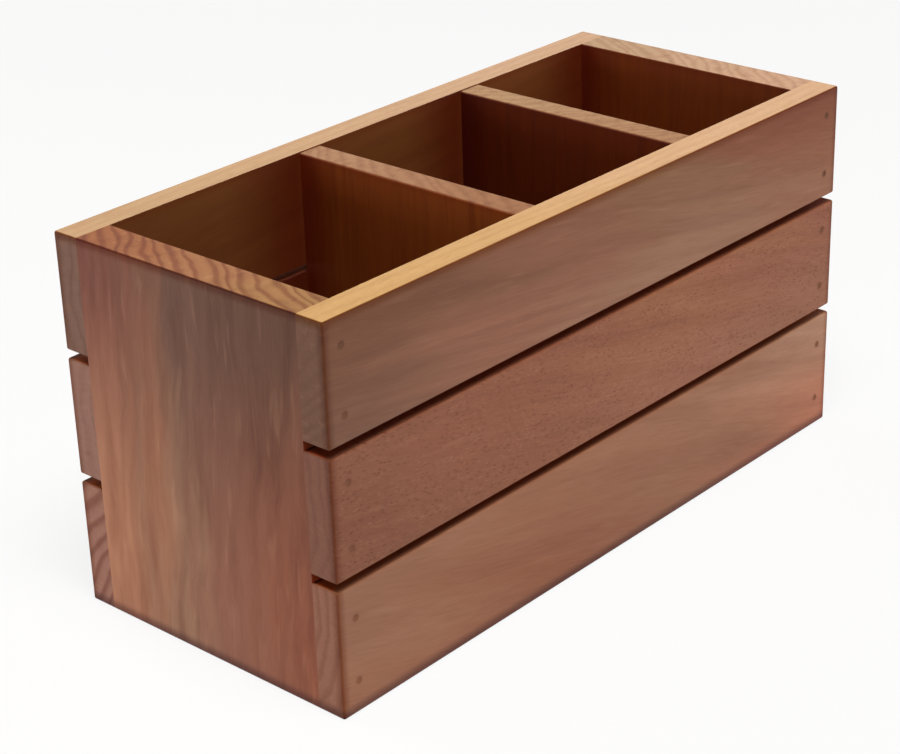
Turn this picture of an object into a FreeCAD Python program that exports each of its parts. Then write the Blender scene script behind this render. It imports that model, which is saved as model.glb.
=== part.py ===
# Slatted wooden caddy with three compartments, open at the top. Millimetres.
# Two solid end boards and two dividers stand between slatted long sides, and the
# bottom board is held in a groove that runs round the inside of all four walls.
# Frame: origin at the centre of the footprint, on the surface the caddy stands on;
# +X runs along the caddy from the large compartment to the small one, +Y is its back, +Z up.

import FreeCAD
import Part
import os

# ---- driving dimensions ----

large_compartment = 95.0    # inside lengths along X, from the left end to the right
medium_compartment = 82.0
small_compartment = 68.0
inside_width = 108.0        # between the inner faces of the slats

bottom_slat_height = 50.5
middle_slat_height = 47.0
top_slat_height = 46.0
slat_gap = 3.25             # open gap between one slat and the next
slat_thickness = 12.0

end_thickness = 16.0
divider_thickness = 11.5
divider_drop = 0.5          # the dividers stop this far below the rim

outer_round = 1.0           # arrises on the outside, and round each slat's ends
inner_round = 0.5           # inner top arrises of the end boards, broken with sandpaper
divider_round = 0.8         # top arrises of the dividers

panel_thickness = 6.0
panel_rise = 6.0            # underside of the bottom board above the base
groove_depth = 4.0
groove_play = 0.2           # room left above and around the bottom board in its groove

shank_diameter = 1.6        # brads
head_diameter = 2.4
head_height = 0.7
head_set = 0.6              # heads are punched this far below the face
point_length = 2.0
point_diameter = 0.3
brad_play = 0.05            # between a brad and the wood round it, all over
slat_brad_length = 30.0
slat_brad_spacing = 25.0    # between the two brads in each end of a slat
divider_brad_length = 20.0
divider_brad_spacing = 60.0

cut_over = 1.0              # how far a drill's cutter stands out of the face it enters
same_place = 1e-6           # distances below this count as none

# ---- sizes that follow from them ----

inside_length = (large_compartment + medium_compartment + small_compartment
                 + 2 * divider_thickness)
length = inside_length + 2 * end_thickness
width = inside_width + 2 * slat_thickness
height = bottom_slat_height + middle_slat_height + top_slat_height + 2 * slat_gap

inside_left = -inside_length / 2
inside_right = inside_length / 2
end_centre = inside_right + end_thickness / 2
floor_top = panel_rise + panel_thickness

left_divider_start = inside_left + large_compartment
right_divider_start = left_divider_start + divider_thickness + medium_compartment
dividers = {"left": left_divider_start, "right": right_divider_start}

middle_slat_base = bottom_slat_height + slat_gap
top_slat_base = middle_slat_base + middle_slat_height + slat_gap
slats = {                   # each row's base and height
    "bottom": (0.0, bottom_slat_height),
    "middle": (middle_slat_base, middle_slat_height),
    "top": (top_slat_base, top_slat_height),
}


def vec(x, y, z):
    return FreeCAD.Vector(x, y, z)


along_y = vec(0, 1, 0)
up = vec(0, 0, 1)
down = vec(0, 0, -1)


def block(low, high):
    """A box between two opposite corners."""
    size = high - low
    return Part.makeBox(size.x, size.y, size.z, low)


def same(a, b):
    return abs(a - b) < same_place


def runs_along(direction, axis):
    """True for an edge that lies mostly along an axis."""
    return abs(direction.dot(axis)) > 0.5


def round_edges(shape, radius, chosen):
    """Rounds the edges for which chosen(centre, direction) is true."""
    edges = []
    for edge in shape.Edges:
        ends = [vertex.Point for vertex in edge.Vertexes]
        run = ends[1] - ends[0]
        if chosen((ends[0] + ends[1]) * 0.5, run.normalize()):
            edges.append(edge)
    return shape.makeFillet(radius, edges)


# ---- brads ----

def brad(brad_length):
    """A headed brad along +Z: head at the top, whose flat face is at Z = 0."""
    head = Part.makeCylinder(head_diameter / 2, head_height, vec(0, 0, -head_height))
    shank_length = brad_length - head_height - point_length
    shank_base = -head_height - shank_length
    shank = Part.makeCylinder(shank_diameter / 2, shank_length, vec(0, 0, shank_base))
    point = Part.makeCone(point_diameter / 2, shank_diameter / 2, point_length,
                          vec(0, 0, shank_base - point_length))
    return head.fuse([shank, point]).removeSplitter()


def brad_hole(brad_length):
    """The room that a set brad takes, from the face it was driven into at Z = 0."""
    seat_depth = head_set + head_height + brad_play
    seat = Part.makeCylinder(head_diameter / 2 + brad_play, seat_depth + cut_over,
                             vec(0, 0, -seat_depth))
    hole_depth = head_set + brad_length + brad_play
    hole = Part.makeCylinder(shank_diameter / 2 + brad_play, hole_depth,
                             vec(0, 0, -hole_depth))
    return seat.fuse(hole)


def driven(shape, place, outward):
    """Turns a brad or its hole so that its head faces outward at a place on a face."""
    turned = shape.copy()
    turned.Placement = FreeCAD.Placement(place, FreeCAD.Rotation(up, outward))
    return turned


def slat_brad_places(slat_base, slat_height, side):
    """Where brads enter one slat; side is -1 for the front slats and +1 for the back."""
    middle = slat_base + slat_height / 2
    places = []
    for x in (-end_centre, end_centre):
        for z in (middle - slat_brad_spacing / 2, middle + slat_brad_spacing / 2):
            places.append(vec(x, side * width / 2, z))
    return places


def side_brad_places(side):
    places = []
    for slat_base, slat_height in slats.values():
        places.extend(slat_brad_places(slat_base, slat_height, side))
    return places


def divider_brad_places(divider_start):
    """Where brads go up through the bottom board into one divider."""
    x = divider_start + divider_thickness / 2
    return [vec(x, y, panel_rise)
            for y in (-divider_brad_spacing / 2, divider_brad_spacing / 2)]


def all_divider_brad_places():
    places = []
    for divider_start in dividers.values():
        places.extend(divider_brad_places(divider_start))
    return places


def brads(places, outward, brad_length):
    """A group of separate brads, each with its head below the face it entered."""
    return Part.makeCompound([driven(brad(brad_length), place - outward * head_set, outward)
                              for place in places])


def drill(shape, places, outward, brad_length):
    hole = brad_hole(brad_length)
    return shape.cut([driven(hole, place, outward) for place in places])


# ---- boards ----

def panel_groove():
    """The groove for the bottom board, as one flat block that is cut from every wall."""
    reach_x = inside_length / 2 + groove_depth
    reach_y = inside_width / 2 + groove_depth
    return block(vec(-reach_x, -reach_y, panel_rise),
                 vec(reach_x, reach_y, floor_top + groove_play))


def slat(slat_base, slat_height, side):
    """One full-length slat. Its inner edges stay sharp, as they meet the other boards flush."""
    inner_y = side * inside_width / 2
    outer_y = side * width / 2
    shape = block(vec(-length / 2, min(inner_y, outer_y), slat_base),
                  vec(length / 2, max(inner_y, outer_y), slat_base + slat_height))

    def outside(centre, direction):
        return same(centre.y, outer_y) or runs_along(direction, along_y)

    shape = round_edges(shape, outer_round, outside)
    shape = shape.cut(panel_groove())
    places = slat_brad_places(slat_base, slat_height, side)
    return drill(shape, places, along_y * side, slat_brad_length)


def end_panel(side):
    """One end board; side is -1 at the large compartment and +1 at the small one."""
    inner_x = side * inside_length / 2
    outer_x = side * length / 2
    shape = block(vec(min(inner_x, outer_x), -inside_width / 2, 0),
                  vec(max(inner_x, outer_x), inside_width / 2, height))

    def outside(centre, direction):
        return same(centre.x, outer_x) and runs_along(direction, along_y)

    def inside(centre, direction):
        return same(centre.x, inner_x) and same(centre.z, height)

    shape = round_edges(shape, outer_round, outside)
    shape = round_edges(shape, inner_round, inside)
    shape = shape.cut(panel_groove())
    for face in (-1, 1):
        shape = drill(shape, side_brad_places(face), along_y * face, slat_brad_length)
    return shape


def divider(divider_start):
    """One divider, standing on the bottom board between the slats."""
    top = height - divider_drop
    shape = block(vec(divider_start, -inside_width / 2, floor_top),
                  vec(divider_start + divider_thickness, inside_width / 2, top))

    def upper(centre, direction):
        return same(centre.z, top) and runs_along(direction, along_y)

    shape = round_edges(shape, divider_round, upper)
    return drill(shape, divider_brad_places(divider_start), down, divider_brad_length)


def bottom_panel():
    """The bottom board. It rests on the lower face of its groove."""
    reach_x = inside_length / 2 + groove_depth - groove_play
    reach_y = inside_width / 2 + groove_depth - groove_play
    shape = block(vec(-reach_x, -reach_y, panel_rise), vec(reach_x, reach_y, floor_top))
    return drill(shape, all_divider_brad_places(), down, divider_brad_length)


# ---- the nodes ----

nodes = {
    "left_end_panel": end_panel(-1),
    "right_end_panel": end_panel(1),
    "bottom_panel": bottom_panel(),
    "front_slat_brads": brads(side_brad_places(-1), -along_y, slat_brad_length),
    "back_slat_brads": brads(side_brad_places(1), along_y, slat_brad_length),
    "divider_brads": brads(all_divider_brad_places(), down, divider_brad_length),
}
for row, (slat_base, slat_height) in slats.items():
    nodes["front_" + row + "_slat"] = slat(slat_base, slat_height, -1)
    nodes["back_" + row + "_slat"] = slat(slat_base, slat_height, 1)
for name, divider_start in dividers.items():
    nodes[name + "_divider"] = divider(divider_start)

os.makedirs("parts", exist_ok=True)
for node, shape in nodes.items():
    shape.exportStep("parts/" + node + ".step")
    print(node, "solids", len(shape.Solids), "valid", shape.isValid(),
          "volume %.0f" % shape.Volume)
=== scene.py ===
import math

import bmesh
import bpy
from mathutils import Matrix, Vector


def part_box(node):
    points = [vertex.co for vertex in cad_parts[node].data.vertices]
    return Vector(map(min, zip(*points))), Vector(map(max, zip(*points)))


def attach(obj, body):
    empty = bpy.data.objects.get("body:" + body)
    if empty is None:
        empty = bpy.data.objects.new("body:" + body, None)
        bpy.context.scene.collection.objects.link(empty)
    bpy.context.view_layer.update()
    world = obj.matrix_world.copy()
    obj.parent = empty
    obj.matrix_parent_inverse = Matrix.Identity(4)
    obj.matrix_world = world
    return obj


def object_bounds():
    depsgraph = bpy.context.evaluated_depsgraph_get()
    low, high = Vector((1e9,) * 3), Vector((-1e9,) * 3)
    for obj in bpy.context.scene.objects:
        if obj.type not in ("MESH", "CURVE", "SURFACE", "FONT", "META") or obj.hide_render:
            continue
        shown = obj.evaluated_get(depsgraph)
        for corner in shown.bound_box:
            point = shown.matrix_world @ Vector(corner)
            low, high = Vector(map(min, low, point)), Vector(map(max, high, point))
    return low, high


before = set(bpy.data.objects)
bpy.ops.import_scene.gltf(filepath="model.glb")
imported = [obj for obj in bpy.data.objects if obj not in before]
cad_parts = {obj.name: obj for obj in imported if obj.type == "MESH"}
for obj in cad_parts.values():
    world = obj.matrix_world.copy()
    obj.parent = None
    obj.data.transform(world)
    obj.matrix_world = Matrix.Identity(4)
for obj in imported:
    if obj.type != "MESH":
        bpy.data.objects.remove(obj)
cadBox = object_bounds()
print("frame loaded:", len(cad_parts), "nodes")

mm = 0.001


def linear(hexColour):
    # sRGB hex to the linear colour that a socket takes
    colour = []
    for start in (0, 2, 4):
        value = int(hexColour[start:start + 2], 16) / 255
        colour.append(value / 12.92 if value <= 0.04045 else ((value + 0.055) / 1.055) ** 2.4)
    return (*colour, 1.0)


def add(tree, kind, inputs=(), stops=None, **settings):
    # a node; each input is a constant, an output, or a node whose first output feeds it
    node = tree.nodes.new("ShaderNode" + kind)
    for name, value in settings.items():
        setattr(node, name, value)
    for socket, value in inputs.items() if isinstance(inputs, dict) else enumerate(inputs):
        if isinstance(value, bpy.types.Node):
            value = value.outputs[0]
        if isinstance(value, bpy.types.NodeSocket):
            tree.links.new(value, node.inputs[socket])
        else:
            node.inputs[socket].default_value = value
    if stops:
        ramp = node.color_ramp
        ramp.interpolation = "EASE"
        while len(ramp.elements) < len(stops):
            ramp.elements.new(1.0)
        for element, (place, tone) in zip(ramp.elements, stops):
            element.position = place
            element.color = linear(tone) if isinstance(tone, str) else (tone, tone, tone, 1.0)
    return node


def emptyTree(owner):
    # the node tree of a material or a world, cleared
    owner.use_nodes = True
    owner.node_tree.nodes.clear()
    return owner.node_tree


def scaleFor(sizes):
    # the scale that gives a noise's grains these sizes
    return tuple(1 / size for size in sizes)


# A board's own directions, from its middle and in mm: x across its width, y through its thickness and z
# along its grain. "axes" says which of the object's axes these are. The tones run along one of them and
# blend along another.
layouts = {
    # slats: across is down, along is right
    "slat": {
        "turn": (0, math.radians(90), 0), "axes": "ZYX",
        "run": (0, 0, 1), "blend": (1, 0, 0),
    },
    # end boards and dividers: across is forwards, along is up
    "upright": {
        "turn": (0, 0, math.radians(-90)), "axes": "YXZ",
        "run": (1, 0, 0), "blend": (0, 0, 1),
    },
    # bottom board: across is back, along is right
    "flat": {
        "turn": (math.radians(90), 0, math.radians(90)), "axes": "YZX",
        "run": (0, 0, 1), "blend": (1, 0, 0),
    },
}

# Steamed beech, planed, sanded and oiled: reddish brown, with slow bands of colour that follow the growth
# rings, fine fibres and short ray flecks. The rings run on from the faces to the end grain. Real fibres are
# too fine to show, so they are drawn coarser. Lengths are in mm, and a size is across, through and along
# the grain. Levels are where in its noise a mark starts to show, and where it shows fully.
beech = {
    "layout": "slat",
    "pith": (-40, 70),            # the tree's middle, across and through from the board's middle
    "slope": 0,                   # degrees that the grain leans across as it runs along
    "dip": 1.0,                   # degrees that it runs out of the face
    "ringWidth": 5.0,
    "yearSpread": 2.0,            # by how many years the rings crowd or spread, and how soon, per ring
    "yearPace": 0.3,
    "warp": 6.0,                  # how far the rings wander, and over what lengths
    "swaySize": (30, 30, 150),
    "lateWood": [(0.0, 0.25), (0.12, 0.0), (0.4, 0.15), (0.75, 1.0), (0.88, 0.9), (1.0, 0.25)],
    "ringFace": 0.12,             # how dark the late wood is on the faces, and on the ends
    "ringEnd": 0.5,
    "ringTint": "b07c5c",
    "ringTone": 0.1,              # how far the tone strays from ring to ring, and how soon, per ring
    "tonePace": 0.7,
    "firstTones": [(0.0, "86604d"), (1.0, "93644c")],     # along the first edge
    "otherTones": [(0.0, "8b6150"), (1.0, "936a56")],     # along the opposite edge
    "blend": (-0.5, 0.5),         # where one set of tones gives way to the other
    "wander": 0.25,               # how far the bands stray along the tones, and the share of it across them
    "wanderAcross": 0.6,
    "patternRough": 0.55,         # of the noises that follow the grain
    "cloudSize": (17, 17, 110),
    "streak": 0.2,
    "streakSize": (3.2, 5, 80),
    "streakLevels": (0.48, 0.78),
    "streakTint": "c4a494",
    "paleStreak": 0.1,
    "paleStreakSize": (3, 4, 28),
    "paleStreakLevels": (0.6, 0.78),
    "paleStreakTint": "8a6a54",
    "fibre": 0.2,
    "fibreSize": (0.6, 0.6, 14),
    "fibreLevels": (0.4, 0.8),
    "fibreTint": "b8988a",
    "darkFlecks": 0.0,            # share of the flecks' places that have one
    "darkFlecksTint": "dac4b8",
    "paleFlecks": 0.0,
    "paleFlecksTint": "3c2c20",
    "fleckSize": (0.9, 3, 2.8),
    "fleckShape": (0.5, 0.1),     # from its edge to its full strength, as shares of its size
    "patchSize": (9, 9, 26),      # the flecks stand in patches
    "patchLevels": (0.3, 0.55),
    "rimTonesAndHighlight": None,             # of a top edge: the wood's own tones, lightened in part as a painted highlight where light falls on the top
    "inside": "daa664",           # painted shade: the tint that darkens and reddens the face that looks inward
    "bothFaces": False,           # whether the opposite face looks inward too
    "corners": [(0.0, 1), (0.2, 0), (1.0, 0)],            # how much painted shade there is where the boards meet, along the tones
    "besideGaps": False,          # whether its edges show in the gaps between the slats
    # painted shade along the rounded arrises
    "arrisShade": 0.25,
    "edgeTone": "f0dcb4",         # the tint of the last few mm below the rim
    "satin": (0.42, 0.56),        # roughness, over these levels of the fibres
    "satinLevels": (0.3, 0.7),
    "relief": 0.12,               # depth of the raised grain, how much of it shows, and the streaks' share
    "reliefStrength": 0.25,
    "streakRelief": 0.6,
    "ior": 1.5,
    "specular": 0.18,
}

# Marks on every board. The darkening of the arrises, the foot, the gaps and where boards meet inside is
# painted shade; the rest are tints and roughness. A pair of lengths, in mm, is where the mark starts and
# where it is full.
marksAndShade = {
    "rim": (1.8, 0.8),            # below the top
    "edge": (4.0, 0.3),           # from an outer edge
    "edgeTint": "d2b498",
    "footShade": (5.5, 1.0),           # painted contact shadow, above the floor
    "footShadeDepth": 0.9,
    "footShadeTint": "9c828c",
    # painted shade on the arrises
    "arrisShadeTint": "b09070",
    # painted shade where the boards meet inside the box
    "cornerShadeTint": "d09888",
    "gapShadeTint": "ffaa4c",          # painted shade deep in the gaps, near their mouth and at their inner end
    "gapMouthShadeTint": "b0967e",
    "gapEnd": (2.0, 0.6),         # from the slat's inner face
    "gapEndShadeTint": "7c5038",
    "sawnRough": 0.12,            # what is added to the roughness
    "arrisRough": 0.35,
    "gapRough": 0.4,
}

# Where the brads are, in mm, and how the wood round them is stained: from the first distance, and fully at
# the second.
brads = {"fromEnd": 8.0, "apart": 25.0, "stain": (2.3, 1.0), "stained": 0.4, "stainTint": "b89888"}

# How squarely a face looks along an axis: the cosines where it starts to count and where it counts fully.
# An arris looks squarely along none.
cosines = {"sawn": (0.6, 0.9), "level": (0.75, 0.97), "sideways": (0.6, 0.95), "arris": (0.985, 0.88)}
noiseSpan = (0.25, 0.75)          # nearly all of a noise lies between these
seedSteps = {"board": 17.3, "pattern": 5.1, "flecks": 3.7}     # far enough apart for noises that differ


def growthRings(tree, board, log, seed):
    # the wood bent as its rings wander, its late wood, and a tone for each year; the rings differ in width
    slow = add(tree, "Mapping", {"Vector": log, "Location": (seed, seed, seed),
                                 "Scale": scaleFor(board["swaySize"])})
    sway = add(tree, "TexNoise", {"Vector": slow, "Scale": 1.0, "Detail": 2.0})
    bent = add(tree, "VectorMath", [sway.outputs["Color"], (board["warp"] * 2, board["warp"] * 2, 0), log],
               operation="MULTIPLY_ADD")
    flat = add(tree, "VectorMath", [bent, (1, 1, 0)], operation="MULTIPLY")
    radius = add(tree, "VectorMath", [flat], operation="LENGTH").outputs["Value"]
    years = add(tree, "TexNoise", {"W": radius, "Scale": board["yearPace"] / board["ringWidth"],
                                   "Detail": 1.0}, noise_dimensions="1D")
    counted = add(tree, "Math", [radius, 1 / board["ringWidth"]], operation="MULTIPLY")
    age = add(tree, "Math", [years, board["yearSpread"], counted], operation="MULTIPLY_ADD")
    season = add(tree, "Math", [age], operation="FRACT")
    lateWood = add(tree, "ValToRGB", [season], stops=board["lateWood"])
    yearTone = add(tree, "TexNoise", {"W": age, "Scale": board["tonePace"], "Detail": 1.0},
                   noise_dimensions="1D")
    return bent, lateWood, yearTone


def boardMasks(tree, board, coordinates):
    # where a point lies and which way its face looks: each mask is 1 there and 0 elsewhere
    place = coordinates.outputs["Object"]
    facing = add(tree, "VectorMath", [coordinates.outputs["Normal"]], operation="ABSOLUTE")
    facing = add(tree, "SeparateXYZ", [facing]).outputs
    squarest = add(tree, "Math", [facing["X"], facing["Y"]], operation="MAXIMUM")
    squarest = add(tree, "Math", [squarest, facing["Z"]], operation="MAXIMUM")
    along = layouts[board["layout"]]["axes"][2]
    masks = {}
    for mask, cosine in (("sawn", facing[along]), ("level", facing["Z"]), ("arris", squarest)):
        masks[mask] = add(tree, "MapRange", [cosine, *cosines[mask]], interpolation_type="SMOOTHSTEP")

    height = add(tree, "SeparateXYZ", [place]).outputs["Z"]
    rimHeights = [cadBox[1].z - down * mm for down in marksAndShade["rim"]]
    atRim = add(tree, "MapRange", [height, *rimHeights], interpolation_type="SMOOTHSTEP")
    masks["rim"] = add(tree, "Math", [masks["level"], atRim], operation="MULTIPLY")
    # painted contact shadow along the foot
    footShadeHeights = [up * mm for up in marksAndShade["footShade"]]
    masks["footShade"] = add(tree, "MapRange", [height, *footShadeHeights, 0, marksAndShade["footShadeDepth"]],
                        interpolation_type="SMOOTHSTEP")
    if board["layout"] == "slat":
        masks["gap"] = add(tree, "Math", [masks["level"], masks["rim"]], operation="SUBTRACT")
    elif board["besideGaps"]:
        masks["gap"] = add(tree, "MapRange", [facing["Y"], *cosines["sideways"]])

    # beside an outer edge a point is near two of the box's sides
    out = add(tree, "SeparateXYZ", [add(tree, "VectorMath", [place], operation="ABSOLUTE")]).outputs
    near = {}
    for axis, side in zip("XYZ", cadBox[1]):
        start, full = [side - inwards * mm for inwards in marksAndShade["edge"]]
        near[axis] = add(tree, "MapRange", [out[axis], start, full], interpolation_type="SMOOTHSTEP")
    beside = add(tree, "Math", [near["X"], near["Y"]], operation="ADD")
    beside = add(tree, "Math", [beside, near["Z"]], operation="ADD")
    beside = add(tree, "Math", [beside, 1.0], operation="SUBTRACT", use_clamp=True)
    upright = add(tree, "Math", [1.0, masks["level"]], operation="SUBTRACT")
    masks["edge"] = add(tree, "Math", [beside, upright], operation="MULTIPLY")
    masks["belowRim"] = add(tree, "Math", [near["Z"], upright], operation="MULTIPLY")
    masks["outermost"] = near["Y"]
    return masks


# Each of the next functions returns layers of colour: how a layer blends, where and how much, and its tint.

def grainLayers(tree, board, patterns, lateWood, masks):
    marks = {}
    for mark in ("streak", "paleStreak", "fibre"):
        levels = board[mark + "Levels"]
        marks[mark] = add(tree, "MapRange", [patterns[mark], *levels, 0, board[mark]])
    depth = add(tree, "MapRange", [masks["sawn"], 0, 1, board["ringFace"], board["ringEnd"]])
    rings = add(tree, "Math", [lateWood, depth], operation="MULTIPLY")
    return [
        ("MULTIPLY", marks["streak"], board["streakTint"]),
        ("SCREEN", marks["paleStreak"], board["paleStreakTint"]),
        ("MULTIPLY", rings, board["ringTint"]),
        ("MULTIPLY", marks["fibre"], board["fibreTint"]),
    ]


def fleckLayers(tree, board, log, masks, seed):
    # ray flecks in patches, on the planed faces only
    layers = []
    for kind, blend in (("darkFlecks", "MULTIPLY"), ("paleFlecks", "SCREEN")):
        share = board[kind]
        if not share:
            continue
        seed += seedSteps["flecks"]
        spot = (seed, seed, seed)
        scaled = add(tree, "Mapping", {"Vector": log, "Location": spot,
                                       "Scale": scaleFor(board["fleckSize"])})
        rays = add(tree, "TexVoronoi", {"Vector": scaled, "Scale": 1.0})
        shape = add(tree, "MapRange", [rays.outputs["Distance"], *board["fleckShape"]],
                    interpolation_type="SMOOTHSTEP")
        chance = add(tree, "SeparateColor", [rays.outputs["Color"]])
        picked = add(tree, "Math", [chance, share], operation="LESS_THAN")
        planed = add(tree, "Math", [1.0, masks["sawn"]], operation="SUBTRACT")
        picked = add(tree, "Math", [picked, planed], operation="MULTIPLY")
        fleck = add(tree, "Math", [shape, picked], operation="MULTIPLY")
        scaled = add(tree, "Mapping", {"Vector": log, "Location": spot,
                                       "Scale": scaleFor(board["patchSize"])})
        patches = add(tree, "TexNoise", {"Vector": scaled, "Scale": 1.0, "Detail": 2.0})
        patches = add(tree, "MapRange", [patches, *board["patchLevels"]])
        fleck = add(tree, "Math", [fleck, patches], operation="MULTIPLY")
        layers.append((blend, fleck, board[kind + "Tint"]))
    return layers


def insideLayers(tree, board, facing, run):
    # painted shade on the faces that look inward, deepest where they meet another board
    inner = add(tree, "VectorMath", [facing, board["inward"]], operation="DOT_PRODUCT").outputs["Value"]
    if board["bothFaces"]:
        inner = add(tree, "Math", [inner], operation="ABSOLUTE")
    inner = add(tree, "MapRange", [inner, *cosines["sideways"]])
    fromEdge = add(tree, "Math", [run, 0.5], operation="ADD")
    shadedCorners = add(tree, "ValToRGB", [fromEdge], stops=board["corners"])
    shadedCorners = add(tree, "Math", [shadedCorners, inner], operation="MULTIPLY")
    return [("MULTIPLY", inner, board["inside"]), ("MULTIPLY", shadedCorners, marksAndShade["cornerShadeTint"])]


def stainLayers(tree, here, length):
    # oil that has soaked in round the brads
    nearest = (brads["apart"] / 2, 0, length / 2 - brads["fromEnd"])
    reach = add(tree, "VectorMath", [add(tree, "VectorMath", [here], operation="ABSOLUTE"), nearest],
                operation="SUBTRACT")
    reach = add(tree, "VectorMath", [reach, (1, 0, 1)], operation="MULTIPLY")
    reach = add(tree, "VectorMath", [reach], operation="LENGTH").outputs["Value"]
    stain = add(tree, "MapRange", [reach, *brads["stain"], 0, brads["stained"]],
                interpolation_type="SMOOTHSTEP")
    return [("MULTIPLY", stain, brads["stainTint"])]


def shadeAndEdgeLayers(tree, board, masks):
    # painted shade along the arrises, a soft dark line beside each outer one, and painted contact shadow
    # along the foot
    arris = add(tree, "Math", [masks["arris"], board["arrisShade"]], operation="MULTIPLY")
    return [
        ("MULTIPLY", arris, marksAndShade["arrisShadeTint"]),
        ("MULTIPLY", masks["edge"], marksAndShade["edgeTint"]),
        ("MULTIPLY", masks["belowRim"], board["edgeTone"]),
        ("MULTIPLY", masks["footShade"], marksAndShade["footShadeTint"]),
    ]


def gapShadeLayers(tree, masks):
    # painted shade on the faces in the gaps between the slats
    deep = add(tree, "Math", [1.0, masks["outermost"]], operation="SUBTRACT")
    deep = add(tree, "Math", [masks["gap"], deep], operation="MULTIPLY")
    mouth = add(tree, "Math", [masks["gap"], masks["outermost"]], operation="MULTIPLY")
    return [("MULTIPLY", deep, marksAndShade["gapShadeTint"]), ("MULTIPLY", mouth, marksAndShade["gapMouthShadeTint"])]


def gapEndShadeLayers(tree, place, masks, innerFace):
    # more painted shade at the slats' inner edges; innerFace is how far their inner faces are from the
    # middle
    out = add(tree, "SeparateXYZ", [add(tree, "VectorMath", [place], operation="ABSOLUTE")]).outputs["Y"]
    start, full = [innerFace + outwards * mm for outwards in marksAndShade["gapEnd"]]
    inmost = add(tree, "MapRange", [out, start, full])
    inmost = add(tree, "Math", [masks["gap"], inmost], operation="MULTIPLY")
    return [("MULTIPLY", inmost, marksAndShade["gapEndShadeTint"])]


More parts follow.
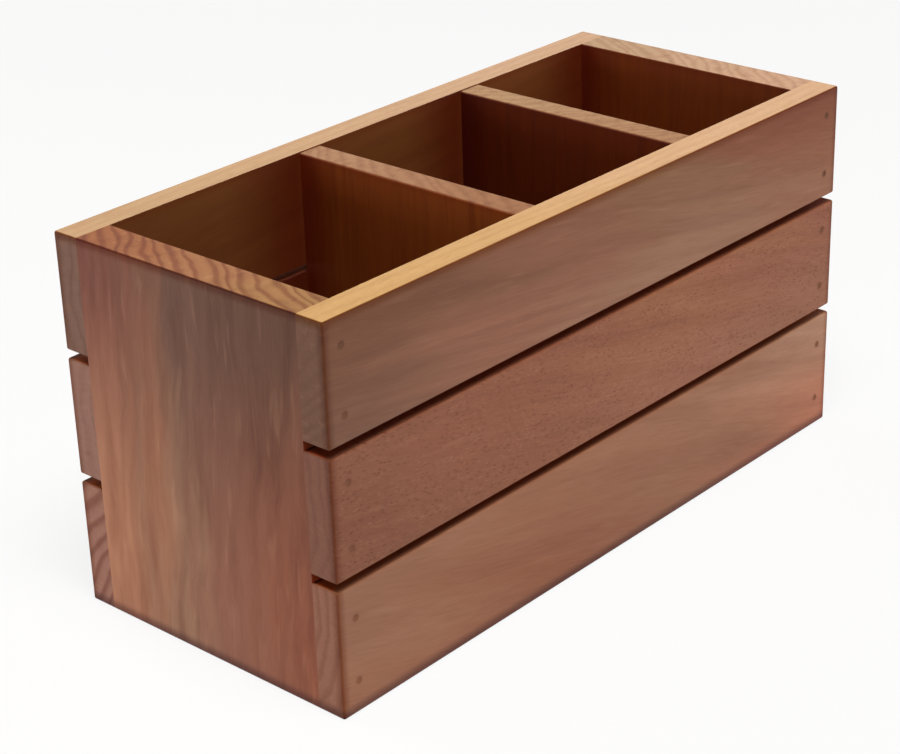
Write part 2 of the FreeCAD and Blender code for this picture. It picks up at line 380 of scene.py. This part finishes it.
def oiledBeech(name, changes):
    board = {**beech, **changes}
    layout = layouts[board["layout"]]
    isSlat = board["layout"] == "slat"
    low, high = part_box(name)
    size = tuple(getattr(high - low, axis.lower()) / mm for axis in layout["axes"])
    seed = board["seed"] * seedSteps["board"]
    material = bpy.data.materials.new("oiledBeech_" + name)
    tree = emptyTree(material)

    # a point as seen from the board's middle, and from the middle of the tree
    coordinates = add(tree, "TexCoord")
    place = coordinates.outputs["Object"]
    here = add(tree, "Mapping", [place, (low + high) / 2, layout["turn"], (mm, mm, mm)],
               vector_type="TEXTURE")
    pith = (-board["pith"][0], -board["pith"][1], 0)
    tilt = (math.radians(board["dip"]), math.radians(-board["slope"]), 0)
    log = add(tree, "Mapping", [here, pith, tilt])
    bent, lateWood, yearTone = growthRings(tree, board, log, seed)
    masks = boardMasks(tree, board, coordinates)

    # the patterns that follow the grain
    patterns = {}
    for pattern, detail in (("cloud", 2.0), ("streak", 3.0), ("paleStreak", 1.0), ("fibre", 3.0)):
        seed += seedSteps["pattern"]
        scaled = add(tree, "Mapping", {"Vector": bent, "Location": (seed, seed, seed),
                                       "Scale": scaleFor(board[pattern + "Size"])})
        patterns[pattern] = add(tree, "TexNoise", {"Vector": scaled, "Scale": 1.0, "Detail": detail,
                                                   "Roughness": board["patternRough"]})

    # tones along one edge and the opposite one, shifted by slow clouds and from ring to ring
    shares = []
    for way in ("run", "blend"):
        step = tuple(part / length for part, length in zip(layout[way], size))
        shares.append(add(tree, "VectorMath", [here, step], operation="DOT_PRODUCT").outputs["Value"])
    run, across = shares
    shifts = []
    for noise, most in ((patterns["cloud"], board["wander"]), (yearTone, board["ringTone"])):
        shifts.append(add(tree, "MapRange", [noise, *noiseSpan, -most / 2, most / 2]))
    shift = add(tree, "Math", shifts, operation="ADD")
    shifted = add(tree, "Math", [add(tree, "Math", [run, shift], operation="ADD"), 0.5], operation="ADD")
    across = add(tree, "Math", [shift, board["wanderAcross"], across], operation="MULTIPLY_ADD")
    crossed = add(tree, "MapRange", [across, *board["blend"]], interpolation_type="SMOOTHSTEP")
    firstTone = add(tree, "ValToRGB", [shifted], stops=board["firstTones"])
    otherTone = add(tree, "ValToRGB", [shifted], stops=board["otherTones"])
    layers = [("MIX", crossed, otherTone.outputs[0])]
    if isSlat:
        layers.append(("MIX", masks["sawn"], board["sawnTone"]))
    if board["rimTonesAndHighlight"]:
        rimToneAndHighlight = add(tree, "ValToRGB", [shifted], stops=board["rimTonesAndHighlight"])
        layers.append(("MIX", masks["rim"], rimToneAndHighlight.outputs[0]))

    layers += grainLayers(tree, board, patterns, lateWood, masks)
    layers += fleckLayers(tree, board, log, masks, seed)
    layers += insideLayers(tree, board, coordinates.outputs["Normal"], run)
    if isSlat:
        layers += stainLayers(tree, here, size[2])
    layers += shadeAndEdgeLayers(tree, board, masks)
    if "gap" in masks:
        layers += gapShadeLayers(tree, masks)
    if isSlat:
        layers += gapEndShadeLayers(tree, place, masks, min(abs(low.y), abs(high.y)))

    # a Mix node of colours takes its factor and its two colours at 0, 6 and 7, and gives the result at 2
    colour = firstTone
    for blend, amount, tint in layers:
        tint = linear(tint) if isinstance(tint, str) else tint
        mixed = add(tree, "Mix", {0: amount, 6: colour, 7: tint}, data_type="RGBA", blend_type=blend)
        colour = mixed.outputs[2]

    # the sawn ends, the arrises and the gaps are duller
    rough = add(tree, "MapRange", [patterns["fibre"], *board["satinLevels"], *board["satin"]])
    rough = add(tree, "Math", [masks["sawn"], marksAndShade["sawnRough"], rough], operation="MULTIPLY_ADD")
    rough = add(tree, "Math", [masks["arris"], marksAndShade["arrisRough"], rough], operation="MULTIPLY_ADD")
    if "gap" in masks:
        rough = add(tree, "Math", [masks["gap"], marksAndShade["gapRough"], rough], operation="MULTIPLY_ADD")
    relief = add(tree, "Math", [patterns["streak"], board["streakRelief"], patterns["fibre"]],
                 operation="MULTIPLY_ADD")
    bump = add(tree, "Bump", {"Strength": board["reliefStrength"], "Distance": board["relief"] * mm,
                              "Height": relief})
    shader = add(tree, "BsdfPrincipled", {"Base Color": colour, "Roughness": rough, "Normal": bump,
                                          "IOR": board["ior"], "Specular IOR Level": board["specular"]})
    add(tree, "OutputMaterial", [shader])
    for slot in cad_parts[name].material_slots:
        slot.material = material
    print("wood:", name, "%.0f x %.0f x %.0f mm" % size)


# Painted shade along a slat, from the left: darkest where each divider and the right end board meet it.
cornerShadeByDividers = [(0.22, 0), (0.36, 1), (0.4, 0), (0.55, 0), (0.67, 1), (0.71, 0), (0.82, 0), (0.94, 1)]

# What sets each board apart. The seed makes its grain its own, "inward" is the way that its inner face
# looks, and "sawnTone" is the tone of a slat's ends.
boards = {
    "front_top_slat": {
        "seed": 1, "slope": 9, "inward": (0, 1, 0), "paleStreak": 0.14, "ringEnd": 0.15,
        "firstTones": [(0.1, "6e4630"), (0.35, "7c503a"), (0.6, "7c5438"), (0.9, "7a4228")],
        "otherTones": [(0.0, "704c3a"), (0.35, "885a44"), (0.65, "906850"), (1.0, "906046")],
        "rimTonesAndHighlight": [(0.0, "b48c56"), (1.0, "c09872")],
        "sawnTone": "684838", "edgeTone": "fff4a0", "corners": cornerShadeByDividers,
    },
    "front_middle_slat": {
        "seed": 2, "slope": 11, "pith": (30, 75), "inward": (0, 1, 0),
        "darkFlecks": 0.55, "paleFlecks": 0.6,
        "firstTones": [(0.0, "7e4e38"), (0.35, "86523a"), (0.65, "8e5a3c"), (1.0, "8c543c")],
        "otherTones": [(0.0, "7e4e38"), (0.35, "825038"), (0.65, "905c44"), (1.0, "8e5c44")],
        "sawnTone": "744c3c", "ringEnd": 0.2, "corners": cornerShadeByDividers,
    },
    "front_bottom_slat": {
        "seed": 3, "slope": 14, "pith": (20, 80), "inward": (0, 1, 0),
        "firstTones": [(0.0, "8e644c"), (0.35, "926248"), (0.65, "92644a"), (1.0, "a67c62")],
        "otherTones": [(0.0, "926248"), (0.4, "845036"), (0.65, "8a5c42"), (1.0, "ae6c50")],
        "sawnTone": "865a46", "ringEnd": 0.3, "corners": cornerShadeByDividers,
    },
    "back_top_slat": {
        "seed": 4, "slope": -8, "pith": (-20, -70), "inward": (0, -1, 0), "inside": "d2ac70",
        "rimTonesAndHighlight": [(0.0, "b08c64"), (1.0, "bc9674")],
        "sawnTone": "765648", "ringEnd": 0.25, "corners": cornerShadeByDividers,
    },
    "back_middle_slat": {
        "seed": 5, "slope": 9, "pith": (30, -75), "inward": (0, -1, 0), "inside": "c4905c",
        "darkFlecks": 0.3, "paleFlecks": 0.2,
        "sawnTone": "8a6456", "ringEnd": 0.15, "corners": cornerShadeByDividers,
    },
    "back_bottom_slat": {
        "seed": 6, "slope": 5, "pith": (69, -58), "inward": (0, -1, 0), "ringWidth": 5.7, "warp": 3,
        "sawnTone": "926656", "ringEnd": 0.6, "corners": cornerShadeByDividers,
    },
    # its tones darken from the foot (firstTones) to the top (otherTones): that darkening up the board is
    # painted shade
    "left_end_panel": {
        "seed": 7, "layout": "upright", "pith": (146, 251), "slope": 3, "dip": 2.5,
        "inward": (1, 0, 0), "inside": "f6a25e", "besideGaps": True,
        "ringWidth": 4.4, "ringFace": 0.14, "ringEnd": 0.66, "swaySize": (30, 30, 55),
        "firstTones": [(0.0, "aa7456"), (0.2, "9a664a"), (0.45, "906850"), (0.6, "845440"),
                       (1.0, "844a32")],
        "otherTones": [(0.0, "784638"), (0.38, "724c3a"), (0.5, "644436"), (1.0, "5c3c2c")],
        "rimTonesAndHighlight": [(0.0, "88522f"), (0.5, "8d5d3a"), (1.0, "8e663b")],
        "blend": (-0.3, 0.5), "edgeTone": "f1c482", "arrisShade": 0.7,
        "paleStreak": 0.2, "streak": 0.6, "streakSize": (7, 9, 55), "fibre": 0.14,
    },
    "right_end_panel": {
        "seed": 8, "layout": "upright", "pith": (-190, -230),
        "inward": (-1, 0, 0), "inside": "ce8838", "besideGaps": True,
        "firstTones": [(0.0, "946650"), (1.0, "8a5a48")],
        "otherTones": [(0.0, "84584a"), (1.0, "7a5446")],
        "rimTonesAndHighlight": [(0.0, "ac8c6c"), (1.0, "b89274")], "ringEnd": 0.28, "streak": 0.5,
    },
    "left_divider": {
        "seed": 9, "layout": "upright", "pith": (170, 240),
        "inward": (1, 0, 0), "bothFaces": True, "inside": "dc9642",
        "rimTonesAndHighlight": [(0.0, "9a7252"), (1.0, "8a5e3e")], "ringEnd": 0.28, "streak": 0.6,
    },
    "right_divider": {
        "seed": 10, "layout": "upright", "pith": (-160, 150),
        "inward": (1, 0, 0), "bothFaces": True, "inside": "9a5208",
        "rimTonesAndHighlight": [(0.0, "a2805c"), (1.0, "966e4c")], "ringEnd": 0.28, "streak": 0.6,
    },
    "bottom_panel": {
        "seed": 11, "layout": "flat", "pith": (30, 160), "inward": (0, 0, 1),
    },
}
for name, board in boards.items():
    oiledBeech(name, board)

# Steel wire brads gone dull under the oil: dark brown, with a rough cold-headed face.
dullSteel = {
    "specks": 2200.0,        # per metre
    "tones": [(0.35, "4a362c"), (0.65, "6e5446")],
    "rough": (0.4, 0.7),
    "relief": 0.05,          # mm
    "reliefStrength": 0.3,
}
steel = bpy.data.materials.new("dullSteel")
tree = emptyTree(steel)
place = add(tree, "TexCoord").outputs["Object"]
specks = add(tree, "TexNoise", {"Vector": place, "Scale": dullSteel["specks"], "Detail": 3.0})
tone = add(tree, "ValToRGB", [specks], stops=dullSteel["tones"])
rough = add(tree, "MapRange", [specks, 0, 1, *dullSteel["rough"]])
bump = add(tree, "Bump", {"Strength": dullSteel["reliefStrength"], "Distance": dullSteel["relief"] * mm,
                          "Height": specks})
shader = add(tree, "BsdfPrincipled", {"Base Color": tone, "Roughness": rough, "Normal": bump,
                                      "Metallic": 1.0})
add(tree, "OutputMaterial", [shader])
for name in ("front_slat_brads", "back_slat_brads", "divider_brads"):
    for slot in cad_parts[name].material_slots:
        slot.material = steel

# Hard wax that fills the holes over the brads' heads. It was pressed in with a thumb, so each plug is
# dished. Lengths are in mm.
waxPlug = {"radius": 1.22, "thick": 0.5, "sunk": 0.05, "dish": 0.15, "rings": 3, "sides": 20}
onePlug = bmesh.new()
bmesh.ops.create_cone(onePlug, cap_ends=True, segments=waxPlug["sides"], radius1=waxPlug["radius"] * mm,
                      radius2=waxPlug["radius"] * mm, depth=waxPlug["thick"] * mm)
top = max(onePlug.faces, key=lambda face: face.calc_center_median().z)
for ring in range(waxPlug["rings"]):
    bmesh.ops.inset_region(onePlug, faces=[top], thickness=waxPlug["radius"] / (waxPlug["rings"] + 1) * mm)
    bmesh.ops.translate(onePlug, verts=top.verts, vec=(0, 0, -waxPlug["dish"] / waxPlug["rings"] * mm))
plugShape = bpy.data.meshes.new("waxPlug")
onePlug.to_mesh(plugShape)
onePlug.free()


def plugsIn(slat, side, plugs):
    # one over each of the two brads near each end of a slat; side is -1 on the front and +1 on the back
    low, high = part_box(slat)
    middle = (low.z + high.z) / 2
    sunk = (waxPlug["sunk"] + waxPlug["thick"] / 2) * mm
    y = high.y - sunk if side > 0 else low.y + sunk
    turn = Matrix.Rotation(math.radians(-90 * side), 4, "X")
    for x in (low.x + brads["fromEnd"] * mm, high.x - brads["fromEnd"] * mm):
        for z in (middle - brads["apart"] / 2 * mm, middle + brads["apart"] / 2 * mm):
            made = len(plugs.verts)
            plugs.from_mesh(plugShape)
            plugs.verts.ensure_lookup_table()
            seat = Matrix.Translation((x, y, z))
            bmesh.ops.transform(plugs, matrix=seat @ turn, verts=plugs.verts[made:])


plugs = bmesh.new()
for row in ("bottom", "middle", "top"):
    plugsIn("front_" + row + "_slat", -1, plugs)
    plugsIn("back_" + row + "_slat", 1, plugs)
plugMesh = bpy.data.meshes.new("wax_plugs")
plugs.to_mesh(plugMesh)
plugs.free()
bpy.data.meshes.remove(plugShape)
waxPlugs = bpy.data.objects.new("wax_plugs", plugMesh)
bpy.context.scene.collection.objects.link(waxPlugs)
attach(waxPlugs, "root")

# Wax in the wood's colour: reddish brown and dull, a little darker than the wood and darkest near the rim.
hardWax = {
    "smears": 1500.0,        # per metre
    "smearTone": 0.2,        # the smears' share in the tone; the rest goes with the height
    "heights": (20, 140),    # mm, from the first tone to the last
    "tones": [(0.0, "7c5038"), (0.45, "6e442f"), (1.0, "5a3a28")],
    "rough": (0.6, 0.8),
    "relief": 0.05,          # mm
    "reliefStrength": 0.3,
    "ior": 1.45,
    "specular": 0.2,
}
wax = bpy.data.materials.new("hardWax")
tree = emptyTree(wax)
place = add(tree, "TexCoord").outputs["Object"]
smears = add(tree, "TexNoise", {"Vector": place, "Scale": hardWax["smears"], "Detail": 2.0})
lowest, highest = [height * mm for height in hardWax["heights"]]
height = add(tree, "MapRange", [add(tree, "SeparateXYZ", [place]).outputs["Z"], lowest, highest, 0,
                                1 - hardWax["smearTone"]])
shade = add(tree, "Math", [smears, hardWax["smearTone"], height], operation="MULTIPLY_ADD")
tone = add(tree, "ValToRGB", [shade], stops=hardWax["tones"])
rough = add(tree, "MapRange", [smears, 0, 1, *hardWax["rough"]])
bump = add(tree, "Bump", {"Strength": hardWax["reliefStrength"], "Distance": hardWax["relief"] * mm,
                          "Height": smears})
shader = add(tree, "BsdfPrincipled", {"Base Color": tone, "Roughness": rough, "Normal": bump,
                                      "IOR": hardWax["ior"], "Specular IOR Level": hardWax["specular"]})
add(tree, "OutputMaterial", [shader])
plugMesh.materials.append(wax)
print("brads and plugs finished")

studio = {
    "floorSize": 6.0,
    "floorTone": "e6e4e2",
    "white": 0.98,           # how bright the backdrop looks
    "floorWhite": 0.82,      # share of the floor's look that is backdrop; the rest shows the shadow
    "ambient": 0.1,
    # place, aim, width, height and watts
    "lamps": {
        "overhead": ((-0.28, -0.42, 1.3), (0, 0, 0.1), 0.6, 0.6, 20.0),
        "frontSoftbox": ((0.4, -1.6, 0.22), (0, 0, 0.08), 1.4, 0.4, 4.5),
        "endSoftbox": ((-1.7, -0.2, 0.22), (0, 0, 0.08), 1.4, 0.4, 9.6),
        "backSoftbox": ((-0.2, 1.6, 0.9), (0, 0, 0.05), 1.3, 0.8, 15.0),
        "farSoftbox": ((1.7, -0.1, 0.4), (0, 0, 0.05), 0.9, 0.6, 10.0),
    },
}


def seenByEye(tree):
    # 1 for a ray that shows a surface, straight, mirrored or through glass, and 0 for one that only lights
    ray = add(tree, "LightPath").outputs
    seen = add(tree, "Math", [ray["Is Camera Ray"], ray["Is Glossy Ray"]], operation="MAXIMUM")
    return add(tree, "Math", [seen, ray["Is Transmission Ray"]], operation="MAXIMUM")


scene = bpy.context.scene
scene.world = bpy.data.worlds.new("studioWorld")
tree = emptyTree(scene.world)
strength = add(tree, "MapRange", [seenByEye(tree), 0, 1, studio["ambient"], studio["white"]])
sky = add(tree, "Background", [(1, 1, 1, 1), strength])
add(tree, "OutputWorld", [sky])

bpy.ops.mesh.primitive_plane_add(size=studio["floorSize"])
floor = bpy.context.object
floor.name = "floor"
paleFloor = bpy.data.materials.new("paleFloor")
tree = emptyTree(paleFloor)
share = add(tree, "Math", [seenByEye(tree), studio["floorWhite"]], operation="MULTIPLY")
matte = add(tree, "BsdfDiffuse", [linear(studio["floorTone"])])
glow = add(tree, "Emission", [(1, 1, 1, 1), studio["white"]])
add(tree, "OutputMaterial", [add(tree, "MixShader", [share, matte, glow])])
floor.data.materials.append(paleFloor)

for name, (place, aim, width, height, watts) in studio["lamps"].items():
    light = bpy.data.lights.new(name, "AREA")
    light.shape = "RECTANGLE"
    light.size = width
    light.size_y = height
    light.energy = watts
    lamp = bpy.data.objects.new(name, light)
    lamp.location = place
    lamp.rotation_euler = (Vector(aim) - Vector(place)).to_track_quat("-Z", "Y").to_euler()
    lamp.visible_camera = False
    scene.collection.objects.link(lamp)
print("studio lit:", len(studio["lamps"]), "lamps")

shot = {
    "place": (-0.60887, -0.53503, 0.43755),
    "aim": (-0.01737, 0.0, 0.06264),
    "roll": -1.849,          # degrees
    "lens": 90.43,           # mm, on a sensor this wide
    "sensor": 36,
    "nearest": 0.01,
}
lens = bpy.data.cameras.new("camera")
lens.lens = shot["lens"]
lens.sensor_width = shot["sensor"]
lens.clip_start = shot["nearest"]
camera = bpy.data.objects.new("camera", lens)
look = (Vector(shot["aim"]) - Vector(shot["place"])).to_track_quat("-Z", "Y").to_matrix().to_4x4()
roll = Matrix.Rotation(math.radians(shot["roll"]), 4, "Z")
camera.matrix_world = Matrix.Translation(shot["place"]) @ look @ roll
scene.collection.objects.link(camera)
scene.camera = camera
scene.view_settings.view_transform = "Standard"
print("camera placed")
